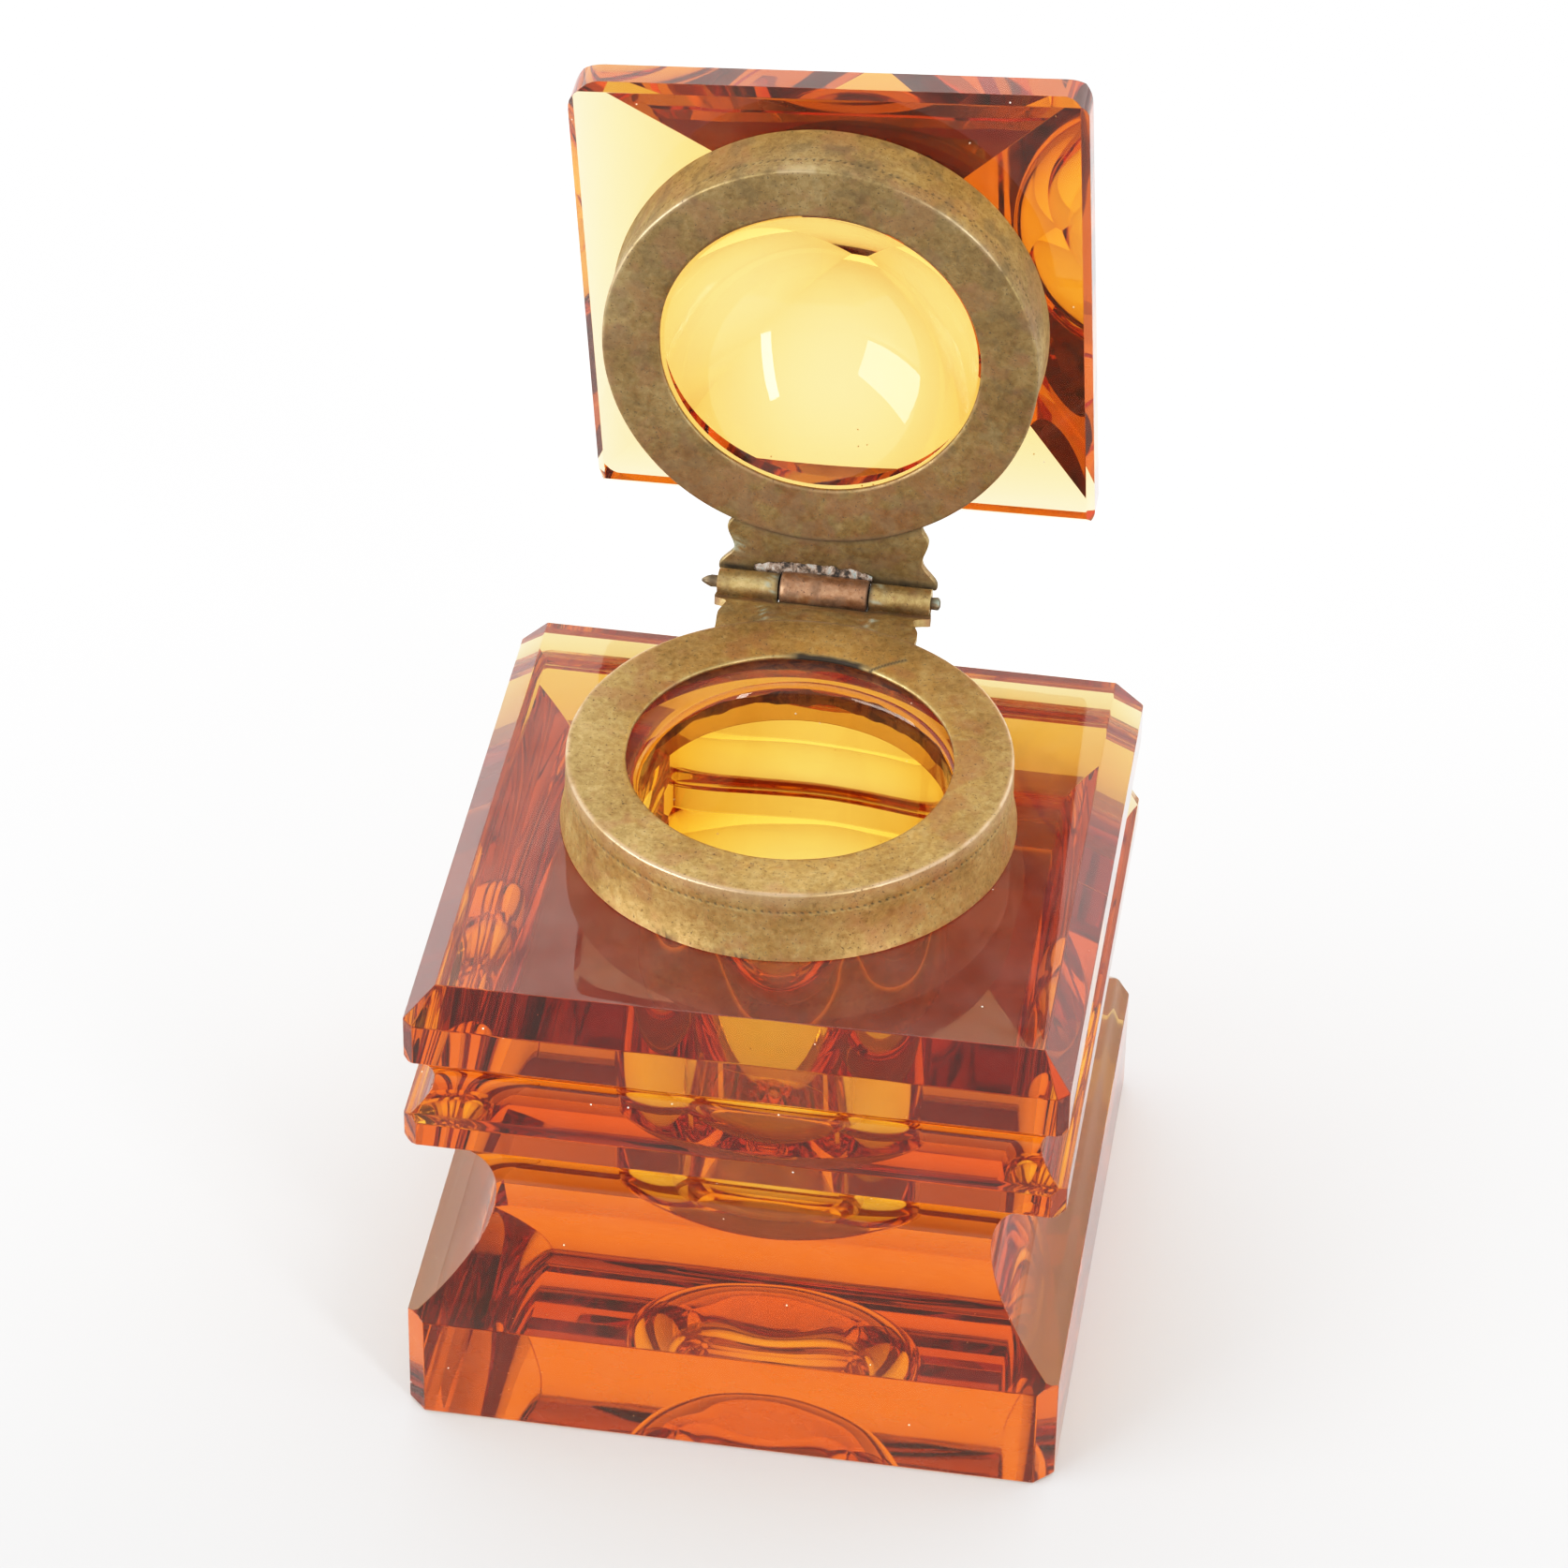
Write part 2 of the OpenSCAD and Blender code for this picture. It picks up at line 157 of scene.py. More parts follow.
def finish_mesh(bm, name, body, nodes, material, matrix=None, sharp=30.0, marks=None):
    """Turns a bmesh in millimetres into a piece that stands for CAD nodes.

    marks maps the name of a vertex attribute to a function of the vertex's place before it is moved.
    """
    bmesh.ops.remove_doubles(bm, verts=bm.verts, dist=1e-4)
    bmesh.ops.dissolve_degenerate(bm, edges=bm.edges, dist=1e-5)
    bmesh.ops.recalc_face_normals(bm, faces=bm.faces)
    for mark, rule in (marks or {}).items():
        layer = bm.verts.layers.float.new(mark)
        for vert in bm.verts:
            vert[layer] = rule(vert.co)
    if matrix is not None:
        bmesh.ops.transform(bm, matrix=matrix, verts=bm.verts)
    bmesh.ops.scale(bm, vec=(MM, MM, MM), verts=bm.verts)
    limit = math.radians(sharp)
    for face in bm.faces:
        face.smooth = True
    for edge in bm.edges:
        edge.smooth = not edge.is_manifold or edge.calc_face_angle(0) < limit
    mesh = bpy.data.meshes.new(name)
    bm.to_mesh(mesh)
    bm.free()
    piece = bpy.data.objects.new(name, mesh)
    bpy.context.scene.collection.objects.link(piece)
    mesh.materials.append(material)
    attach(piece, body)
    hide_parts(*nodes)
    return piece


def soften(piece, width, segments=2):
    """Tiny rounded arrises on every sharp edge."""
    bevel = piece.modifiers.new("arris", "BEVEL")
    bevel.width = width * MM
    bevel.segments = segments
    bevel.limit_method = "ANGLE"
    bevel.angle_limit = math.radians(28)
    bevel.harden_normals = True


def loop_at(bm, points):
    """New vertices at the points."""
    return [bm.verts.new(p) for p in points]


def bridge(bm, low, high):
    """Quads between two closed loops of equal length."""
    count = len(low)
    for i in range(count):
        j = (i + 1) % count
        bm.faces.new((low[i], low[j], high[j], high[i]))


def revolve(bm, profile, centre, count=ROUND, closed=False, shape=None):
    """Skins circles of the (radius, height) profile; shape may move each point. Returns the end circles."""
    loops = []
    for r, z in profile:
        points = []
        for i in range(count):
            turn = 2 * math.pi * i / count
            radius, height = shape(turn, r, z, i) if shape else (r, z)
            x = centre[0] + radius * math.cos(turn)
            y = centre[1] + radius * math.sin(turn)
            points.append((x, y, height))
        loops.append(loop_at(bm, points))
    for low, high in zip(loops, loops[1:]):
        bridge(bm, low, high)
    if closed:
        bridge(bm, loops[-1], loops[0])
    return loops[0], loops[-1]


def flat_with_hole(bm, outer, inner):
    """Fills the plane between two loops."""
    edges = []
    for loop in (outer, inner):
        for i, vert in enumerate(loop):
            pair = (vert, loop[(i + 1) % len(loop)])
            edges.append(bm.edges.get(pair) or bm.edges.new(pair))
    bmesh.ops.triangle_fill(bm, edges=edges, use_beauty=True)


def arc(centre, r, start, end, steps):
    """Points of an arc, angles in degrees."""
    angles = [math.radians(start + (end - start) * i / steps) for i in range(steps + 1)]
    return [(centre[0] + r * math.cos(a), centre[1] + r * math.sin(a)) for a in angles]


def ellipse_arc(share, depth, sharpness):
    """Place along and into an elliptical hollow; share runs from -1 at one end to 1 at the other."""
    flat = 1 - 1 / sharpness
    last = math.acos(flat)
    turn = last * share
    return math.sin(turn) / math.sin(last), depth * sharpness * (math.cos(turn) - flat)


def hollow_arc(low, high, depth, steps):
    """Points of a hollow elliptical arc between two (half width, height) points of the section."""
    p, q = Vector(low), Vector(high)
    along = (q - p) / 2
    inward = Vector((-along.y, along.x)).normalized()
    points = []
    for i in range(steps + 1):
        part, deep = ellipse_arc(2 * i / steps - 1, depth, COVE_SHARPNESS)
        points.append((p + q) / 2 + along * part + inward * deep)
    return points


def between(stops, value):
    """Smooth interpolation through (place, amount) stops."""
    for (a, low), (b, high) in zip(stops, stops[1:]):
        if value <= b:
            t = min(1.0, max(0.0, (value - a) / (b - a)))
            return low + (high - low) * t * t * (3 - 2 * t)
    return stops[-1][1]


# ---------------------------------------------------------------- glass
def block_ring(z, half, slant=0.0):
    """Eight corners of the block at one height, anticlockwise from the front left."""
    front = max(0.0, 2 * half - (2 * BASE_HALF - FRONT_CUT))
    back = max(0.0, 2 * half - (2 * BASE_HALF - BACK_CUT))
    h = half
    return [
        (-h + front, -h, z), (h - front, -h + slant, z),
        (h, -h + front + slant, z), (h, h - back, z),
        (h - back, h, z), (-h + back, h, z),
        (-h, h - back, z), (-h, -h + front, z),
    ]


def well_profile():
    """Profile of the well: over the lip, down the wall in a few steps and round to the floor."""
    lip = arc((WELL_R + LIP_R, NECK_TOP - LIP_R), LIP_R, 90, 180, 8)
    corner = arc((WELL_R - WELL_ROUND, WELL_FLOOR + WELL_ROUND), WELL_ROUND, 0, -90, 28)
    wall = [(WELL_R, z) for z in (42, 38, 34, 30, 26, 22, 19)]
    return lip + wall + corner


def drawn_wall(turn, r, z, _):
    """The well was pressed, so its wall and floor aren't quite true."""
    place = (r * math.cos(turn), r * math.sin(turn), z)
    in_floor = z < WELL_FLOOR + WELL_ROUND + 1
    off_axis = r > 1
    return r + off_axis * wobble(place, 6, 0.1), z + in_floor * wobble(place, 5, 0.12, 3)


def make_glass_body(material):
    """The block with its coves and bevels, the moulded neck and the well in it."""
    bm = bmesh.new()
    section = [(BASE_HALF, 0.0)]
    section += hollow_arc((BASE_HALF, FOOT_Z), (BAND_HALF, COVE_Z), COVE_DEPTH, 48)
    section += hollow_arc((BAND_HALF, BAND_Z), (SLAB_HALF, GROOVE_Z), GROOVE_DEPTH, 32)
    section.append((SLAB_HALF, BEVEL_Z))
    rings = [loop_at(bm, block_ring(z, half)) for half, z in section]
    rings.append(loop_at(bm, block_ring(TOP_Z, SLAB_HALF - BEVEL_IN, TOP_SLANT)))
    for low, high in zip(rings, rings[1:]):
        bridge(bm, low, high)
    bm.faces.new(list(reversed(rings[0])))
    neck, neck_top = revolve(bm, [(NECK_R, TOP_Z), (NECK_R, NECK_TOP)], NECK_AT)
    lip, floor = revolve(bm, well_profile(), WELL_AT, shape=drawn_wall)
    bridge(bm, neck_top, lip)
    bm.faces.new(floor)
    flat_with_hole(bm, rings[-1], neck)
    piece = finish_mesh(bm, "glass_body_cut", "root", ["glass_body"], material)
    soften(piece, 0.12)


def lid_outline():
    """Corners and rounded plan of the lid glass, anticlockwise from the front left."""
    corners = [Vector(corner) for corner in LID_CORNERS]
    steps = 8
    points = []
    for i, corner in enumerate(corners):
        into = (corner - corners[i - 1]).normalized()
        out = (corners[(i + 1) % 4] - corner).normalized()
        turn = into.angle(out)
        r = LID_CORNER_RADII[i]
        centre = corner + (out - into).normalized() * r / math.cos(turn / 2)
        for step in range(steps + 1):
            spin = Matrix.Rotation(turn * step / steps, 2)
            points.append(centre + spin @ Vector((into.y, -into.x)) * r)
    return corners, points


def cut_by_plane(bm, point, normal):
    """Cuts away what lies on the normal's side of a plane and closes the cut."""
    geometry = bm.verts[:] + bm.edges[:] + bm.faces[:]
    cut = bmesh.ops.bisect_plane(
        bm, geom=geometry, plane_co=point, plane_no=normal, clear_outer=True, dist=1e-6
    )
    edges = [g for g in cut["geom_cut"] if isinstance(g, bmesh.types.BMEdge)]
    bmesh.ops.contextual_create(bm, geom=edges)


def lid_dome():
    """Profile of the lid's hollow, from its mouth to near its top."""
    steps = 48
    dome = []
    for i in range(steps):
        part, deep = ellipse_arc(1 - i / steps, LID_HOLLOW_DEPTH, LID_HOLLOW_SHARPNESS)
        dome.append((LID_HOLLOW_R * part, LID_BOSS_Z + deep))
    return dome


def make_lid_glass(material):
    """A slab cut to a pyramid by four facets, with a boss under it and a hollow in the boss."""
    corners, outline = lid_outline()
    over_apex = LID_GLASS_Z + 20
    bm = bmesh.new()
    low = loop_at(bm, [(p.x, p.y, LID_GLASS_Z) for p in outline])
    high = loop_at(bm, [(p.x, p.y, over_apex) for p in outline])
    bridge(bm, low, high)
    bm.faces.new(list(reversed(low)))
    bm.faces.new(high)
    for i, slope in enumerate(LID_SLOPES):
        edge = (corners[(i + 1) % 4] - corners[i]).normalized()
        outward = Vector((edge.y, -edge.x, 0))
        foot = Vector((corners[i].x, corners[i].y, LID_GLASS_Z + LID_EDGE_H))
        rise = math.radians(slope)
        cut_by_plane(bm, foot, outward * math.sin(rise) + Vector((0, 0, math.cos(rise))))
        foot.z = LID_GLASS_Z + LID_BEVEL
        cut_by_plane(bm, foot, (outward - Vector((0, 0, 1))).normalized())
    under = min(bm.faces, key=lambda face: face.calc_center_median().z)
    rim = list(under.verts)
    bm.faces.remove(under)
    wall = [(LID_BOSS_R, LID_GLASS_Z), (LID_BOSS_R, LID_BOSS_Z)]
    boss, top = revolve(bm, wall + lid_dome(), LID_COLLAR_AT)
    bm.faces.new(top)
    flat_with_hole(bm, rim, boss)
    piece = finish_mesh(bm, "lid_glass_cut", "lid", ["lid_glass"], material, OPENED_ASKEW)
    soften(piece, 0.14)


# ---------------------------------------------------------------- collars and cement
def collar_profile(r, depth, flare):
    """Closed half section of a spun collar; height 0 is the rim and the skirt hangs down."""
    inner = r - SHEET
    dish, edge, soft, hem_soft = 0.22, 0.22, 0.1, 0.12
    flat_start = RIM_HOLE_R + soft
    flat = r - edge - RIM_HOLE_R - soft
    rim = []
    for i in range(RIM_ROWS + 1):
        t = i / RIM_ROWS
        rim.append((flat_start + flat * t, -dish * (1 - t) ** 2))
    shoulder = arc((r - edge, -edge), edge, 90, 0, 6)[1:]
    bead_rows = [(r, BEAD_Z + step * BEAD_ROW) for step in (2, 1, 0, -1, -2)]
    skirt = []
    for step in range(9):
        t = step / 8
        skirt.append((r + flare * t * t, -WALL_H - (depth - WALL_H - soft) * t))
    hem = [
        (r + flare - hem_soft, -depth),
        (inner + flare + hem_soft, -depth),
        (inner + flare, -depth + 0.15),
    ]
    inside = [(inner + flare * 0.2, -depth + 1.6), (inner, -WALL_H), (inner, -SHEET), (flat_start, -SHEET)]
    hole = [(RIM_HOLE_R, -SHEET + soft), (RIM_HOLE_R, -dish - soft)]
    return rim + shoulder + bead_rows + skirt + hem + inside + hole


def make_collar(name, node, body, material, centre, rim_z, r, depth, flare, hole_shift, marks, matrix=None):
    """Spins a collar. The lid's collar hangs rim down, as it does on the closed lid."""
    way = -1 if body == "lid" else 1
    per_bead = 3

    def shape(turn, radius, height, i):
        place = (radius * math.cos(turn), radius * math.sin(turn), height)
        uneven = wobble(place, 9, 0.06, way * 2.0) + wobble(place, 2.5, 0.018, 5)
        dent = BEAD_DEPTH if abs(height - BEAD_Z) < 0.01 and i % per_bead == 0 else 0.0
        lift = wobble(place, 8, 0.05, way * 4.0) + wobble(place, 1.8, 0.012, 9)
        if radius < RIM_HOLE_R + 0.3:
            uneven += wobble((math.cos(turn) * 3, math.sin(turn) * 3, 0), 1, 0.07, 8)
            uneven += hole_shift * math.sin(turn)
        return radius + uneven - dent, rim_z + way * (height + lift * (height > -depth + 0.5))

    bm = bmesh.new()
    revolve(bm, collar_profile(r, depth, flare), centre, BEADS * per_bead, closed=True, shape=shape)
    finish_mesh(bm, name, body, [node], material, matrix, 50.0, marks)


def bead_dirt(turn, height):
    """Dirt in the punched dots; turn is in degrees and height is from the rim."""
    off = abs((turn * BEADS / 360 + 0.5) % 1 - 0.5)
    return float(off < 0.1 and abs(height - BEAD_Z) < 0.08)


def well_collar_marks():
    """Where the well's collar is black with dirt and painted shade, reddish, and bright with a painted
    highlight; turns are in degrees from the right.
    """
    on_rim = RIM_Z - 0.8

    def polar(co):
        x, y = co.x - COLLAR_AT[0], co.y - COLLAR_AT[1]
        return math.hypot(x, y), math.degrees(math.atan2(y, x)) % 360

    def grime_and_shade(co):
        r, turn = polar(co)
        darkening = bead_dirt(turn, co.z - RIM_Z + RIM_PLAY)
        if r < RIM_HOLE_R + 0.75:
            stops = ((RIM_HOLE_R + 0.2, 1.0), (RIM_HOLE_R + 0.55, 0.0))
            residue = between(stops, r + wobble(co, 0.8, 0.12))
            darkening = residue * min(1.0, 2.5 * near(turn, 85, 19))
        crack_turn = 69 - (r - RIM_HOLE_R) * 2.9
        if r < NECK_R and co.z > on_rim:
            darkening = max(darkening, near(turn, crack_turn, 1.1))
        specks = max(near(turn, 246, 6), near(turn, 266, 8)) * near(co.z, TOP_Z, 0.9)
        darkening = max(darkening, specks * blotch(co, 0.4, -0.15, 2))
        # painted shade: the rim's outer edge is darker on the hinge side, where the leaf joins it
        hinge_side_shade = near(turn, 92, 40) * (co.z > on_rim - 0.1)
        return max(darkening, 0.55 * hinge_side_shade * near(r, 16.9, 0.5))

    def blush(co):
        ring = near(polar(co)[0], COLLAR_R, 0.5) * (co.z > on_rim)
        return max(0.55 * ring, blotch(co, 3.5, 0.15, 7) * 0.7, 0.6 * near(co.z, TOP_Z, 0.6))

    def highlight_and_rub(co):
        # a painted highlight along the rim's rounded outer edge, in patches
        edge = near(math.hypot(polar(co)[0] - COLLAR_R + 0.1, co.z - RIM_Z + 0.1), 0, 0.35)
        return edge * (0.15 + 0.5 * blotch(co, 4, -0.1, 1))

    return {"grime_and_shade": grime_and_shade, "blush": blush, "highlight_and_rub": highlight_and_rub}


def lid_collar_marks():
    """Where the lid's collar is dark with dirt and painted shadow, reddish, and bright with a painted
    highlight, in closed lid coordinates.
    """
    def radius(co):
        return math.hypot(co.x - LID_COLLAR_AT[0], co.y - LID_COLLAR_AT[1])

    def grime_and_shade(co):
        # painted shadow on the collar's outer wall on the hinge side, where it meets the leaf
        crease_shadow = near(radius(co), LID_COLLAR_R, 0.6) * near(co.y, LID_COLLAR_AT[1] + LID_COLLAR_R, 3.5)
        turn = math.degrees(math.atan2(co.y - LID_COLLAR_AT[1], co.x - LID_COLLAR_AT[0])) % 360
        dots = 0.8 * bead_dirt(turn, LID_RIM_Z + RIM_PLAY - co.z)
        return max(0.8 * crease_shadow, dots, 0.25 * blotch(co, 1.5, 0.1, 3))

    def blush(co):
        towards_hinge = near(co.y, LID_COLLAR_AT[1] + 14, 9)
        rim = co.z < LID_RIM_Z + 0.4
        return max(0.9 * towards_hinge * rim * blotch(co, 2.2, -0.25, 5), 0.55 * blotch(co, 3, 0.05, 8))

    def highlight_and_rub(co):
        # a painted highlight on the rim's rounded edge, strongest on the side away from the hinge
        edge = math.hypot(radius(co) - LID_COLLAR_R + 0.1, co.z - LID_RIM_Z - 0.1)
        return near(edge, 0, 0.35) * 0.5 * near(co.y, LID_COLLAR_AT[1] - 12, 20) * blotch(co, 4, -0.2, 2)

    return {"grime_and_shade": grime_and_shade, "blush": blush, "highlight_and_rub": highlight_and_rub}


def make_cement(name, node, body, material, outside, hole, start, end, ragged, matrix=None):
    """A ring of cement between a collar and the glass, with a ragged end.

    outside and hole are (radius, centre); the ring runs from the height start to the height end.
    """
    rows, wave_r = 10, 6
    bm = bmesh.new()
    walls = []
    for radius, centre in (outside, hole):
        loops = []
        for row in range(rows + 1):
            points = []
            for i in range(ROUND):
                turn = 2 * math.pi * i / ROUND
                c, s = math.cos(turn), math.sin(turn)
                wave = wobble((c * wave_r, s * wave_r, 0), 1.2, ragged)
                wave += wobble((c * wave_r, s * wave_r, 2), 0.5, ragged * 0.5)
                z = start + (end + wave - start) * row / rows
                points.append((centre[0] + radius * c, centre[1] + radius * s, z))
            loops.append(loop_at(bm, points))
        for low, high in zip(loops, loops[1:]):
            bridge(bm, low, high)
        walls.append(loops)
    bridge(bm, walls[0][0], walls[1][0])
    bridge(bm, walls[0][-1], walls[1][-1])
    finish_mesh(bm, name, body, [node], material, matrix, 60.0)


# ---------------------------------------------------------------- hinge
def sheet_grid(bm, rows, columns, place):
    """A sheet of quads; place(row, column) gives a vertex, and may return None where there is no metal."""
    grid = [[place(i, j) for j in range(columns)] for i in range(rows)]
    made = [[bm.verts.new(p) if p is not None else None for p in line] for line in grid]
    for i in range(rows - 1):
        for j in range(columns - 1):
            corners = (made[i][j], made[i][j + 1], made[i + 1][j + 1], made[i + 1][j])
            if all(corner is not None for corner in corners):
                bm.faces.new(corners)


def thicken(piece, edge):
    """Gives a surface the thickness of the brass sheet, and soft edges."""
    solid = piece.modifiers.new("sheet", "SOLIDIFY")
    solid.thickness = SHEET * MM
    solid.offset = 0
    soften(piece, edge, 3)


def across(left, right, slot, j, sides, middle):
    """Place across a leaf: `sides` columns on each side of the slot and `middle` columns in it."""
    if j <= sides:
        return left + (-slot - left) * j / sides
    if j >= sides + middle:
        return slot + (right - slot) * (j - sides - middle) / sides
    return -slot + 2 * slot * (j - sides) / middle


def collar_reach(x, centre, r):
    """Distance from the hinge axis to a collar's wall, at a place across the hinge."""
    offset = HINGE_X + x - centre[0]
    return HINGE.y - centre[1] - math.sqrt(r * r - offset * offset)


def make_well_leaf(material):
    """The lower leaf: from the collar, down into a valley, and rolled round the pin on both sides."""
    left_edge = ((0.0, 8.35), (1.2, 8.5), (1.8, 8.4), (3.0, 7.3), (4.7, 7.7), (6.5, 7.6))
    right_edge = ((0.0, 8.35), (1.2, 8.5), (1.9, 8.6), (3.2, 7.4), (4.9, 7.95), (6.5, 7.9))
    flat_rows, roll_rows, sides, middle = 22, 26, 12, 8
    knuckle_half = 8.35
    roll_r = KNUCKLE_R - SHEET / 2
    roll_start, roll_turn = -90, 300
    slot_reach = 1.3
    level, valley = RIM_Z - 0.1 - SHEET / 2, HINGE.z - roll_r

    def place(i, j):
        in_slot = sides < j < sides + middle
        if i < flat_rows:
            t = i / (flat_rows - 1)
            x0 = across(-LEAF_HALF, LEAF_HALF, SLOT_HALF, j, sides, middle)
            start = collar_reach(x0, COLLAR_AT, COLLAR_R - LEAF_SUNK)
            end = slot_reach if in_slot or j in (sides, sides + middle) else 0.0
            reach = start + (end - start) * t
            x = across(-between(left_edge, reach), between(right_edge, reach), SLOT_HALF, j, sides, middle)
            drop = between(((0.9, 1.0), (3.6, 0.0)), reach)
            z = level + (valley - level) * drop + wobble((x, reach, 0), 2.2, 0.09)
            return HINGE_X + x, HINGE.y - reach, z
        if in_slot:
            return None
        turn = math.radians(roll_start + roll_turn * (i - flat_rows + 1) / roll_rows)
        x = across(-knuckle_half, knuckle_half, SLOT_HALF, j, sides, middle)
        r = roll_r + wobble((x, i * 0.3, 4), 2.0, 0.04)
        return HINGE_X + x, HINGE.y + r * math.cos(turn), HINGE.z + r * math.sin(turn)

    def grime_and_shade(co):
        # darker in blotches along the valley; painted shadow in the gap on each side of the middle knuckle
        # and at the end of its slot
        valley_dark = near(co.y, HINGE.y - 1.5, 0.9) * near(co.z, HINGE.z - 0.6, 0.7)
        gap_shadows = near(abs(co.x - HINGE_X), SLOT_HALF, 0.5) * near(co.y, HINGE.y, 2.2)
        slot = near(HINGE.y - co.y, slot_reach, 0.45) * (abs(co.x - HINGE_X) < SLOT_HALF + 0.2)
        return max(0.6 * valley_dark * blotch(co, 1.6, -0.35, 3), gap_shadows, slot, 0.3 * blotch(co, 0.9, 0.1, 6))

    def blush(co):
        valley = near(co.y, HINGE.y - 1.7, 1.1) * (abs(co.x - HINGE_X) > SLOT_HALF)
        return max(1.6 * valley * blotch((co.x, 0, 0), 2.5, -0.2, 9), 0.5 * blotch(co, 2, 0.2, 2))

    def verdigris(co):
        ends = near(abs(co.x - HINGE_X), MIDDLE_HALF + 0.7, 0.8) * (co.z > HINGE.z + 0.2)
        return 0.75 * ends * blotch(co, 0.5, 0.0, 5)

    bm = bmesh.new()
    sheet_grid(bm, flat_rows + roll_rows, 2 * sides + middle + 1, place)
    marks = {"grime_and_shade": grime_and_shade, "blush": blush, "verdigris": verdigris}
    piece = finish_mesh(
        bm, "well_leaf_rolled", "root", ["well_leaf"], material, sharp=60.0, marks=marks
    )
    thicken(piece, 0.12)


def make_lid_leaf(material):
    """The upper leaf: a flat plate with a waist, which ends behind the knuckles."""
    left_edge = ((0.0, 8.5), (0.6, 8.6), (2.5, 7.4), (4.4, 7.95), (5.8, 7.3))
    right_edge = ((0.0, 8.5), (0.6, 8.65), (2.8, 7.4), (4.7, 7.85), (6.0, 7.3))
    rows, columns, foot_reach = 26, 29, 0.25
    hinge_at = Vector((HINGE.x, HINGE.y))
    centre = Matrix.Rotation(-LID_SKEW, 2) @ (Vector(LID_COLLAR_AT) - hinge_at) + hinge_at

    def place(i, j):
        u = 2 * j / (columns - 1) - 1
        start = collar_reach(u * LEAF_HALF, centre, LID_COLLAR_R - LEAF_SUNK)
        reach = start + (foot_reach - start) * i / (rows - 1)
        x = u * between(left_edge if u < 0 else right_edge, reach)
        z = UPPER_LEAF_Z + SHEET / 2 + wobble((x, reach, 7), 2.5, 0.1)
        return HINGE_X + x, HINGE.y - reach, z

    def grime_and_shade(co):
        reach = HINGE.y - co.y
        # painted shadow along the join under the collar's edge
        seam_shadow = near(reach, collar_reach(co.x - HINGE_X, centre, LID_COLLAR_R), 0.8)
        foot = near(reach, 0.6, 0.75) * (0.65 + 0.35 * blotch(co, 1.1, -0.2, 3))
        return max(0.7 * seam_shadow, foot, 0.3 * blotch(co, 0.8, 0.1, 6))

    def blush(co):
        return 0.6 * blotch(co, 1.8, 0.1, 4)

    def verdigris(co):
        patch = near(co.x, HINGE_X - 7.3, 1.1) * near(HINGE.y - co.y, 2.7, 1.2)
        return 0.8 * patch * blotch(co, 0.5, -0.2, 1)

    bm = bmesh.new()
    sheet_grid(bm, rows, columns, place)
    marks = {"grime_and_shade": grime_and_shade, "blush": blush, "verdigris": verdigris}
    piece = finish_mesh(
        bm, "lid_leaf_cut", "lid", ["lid_leaf"], material, OPENED, 60.0, marks
    )
    thicken(piece, 0.15)


def along_x(bm, profile, count, shape=None):
    """Skins circles of the (x, radius) profile round the hinge axis. Returns all the circles."""
    loops = []
    for x, r in profile:
        points = []
        for i in range(count):
            turn = 2 * math.pi * i / count
            radius = r + (shape(x, turn) if shape else 0)
            points.append((x, HINGE.y + radius * math.cos(turn), HINGE.z + radius * math.sin(turn)))
        loops.append(loop_at(bm, points))
    for low, high in zip(loops, loops[1:]):
        bridge(bm, low, high)
    return loops


def make_middle_knuckle(material):
    """A separate tube with soft ends and a bore for the pin."""
    soft, bore, rings = 0.22, PIN_R + 0.05, 16
    x0, x1 = middle_low.x, middle_high.x
    soft_end = [(0, MIDDLE_R - soft), (0.06, MIDDLE_R - 0.07)]
    outside = [(x0 + x, r) for x, r in soft_end]
    outside += [(x0 + soft + (x1 - x0 - 2 * soft) * i / rings, MIDDLE_R) for i in range(rings + 1)]
    outside += [(x1 - x, r) for x, r in reversed(soft_end)]

    def worn(x, turn):
        return wobble((x, math.cos(turn) * 1.5, math.sin(turn) * 1.5), 1.6, 0.05) - 0.03

    def grime_and_shade(co):
        # painted shade at both ends of the tube, beside the rolled knuckles
        ends = max(near(co.x, x0, 0.3), near(co.x, x1, 0.3))
        return max(0.75 * ends, 0.5 * blotch(co, 0.9, 0.1, 2))

    def highlight_and_rub(co):
        # a painted highlight along the top of the tube
        return near(co.x, HINGE_X - 0.6, 2.0) * near(co.z, HINGE.z + 1.0, 0.7)

    bm = bmesh.new()
    outer = along_x(bm, outside, 64, shape=worn)
    inner = along_x(bm, [(x0, bore), (x1, bore)], 64)
    bridge(bm, outer[0], inner[0])
    bridge(bm, outer[-1], inner[-1])
    marks = {"grime_and_shade": grime_and_shade, "highlight_and_rub": highlight_and_rub}
    finish_mesh(
        bm, "middle_knuckle_tube", "lid", ["middle_knuckle"], material, OPENED, 50.0, marks
    )


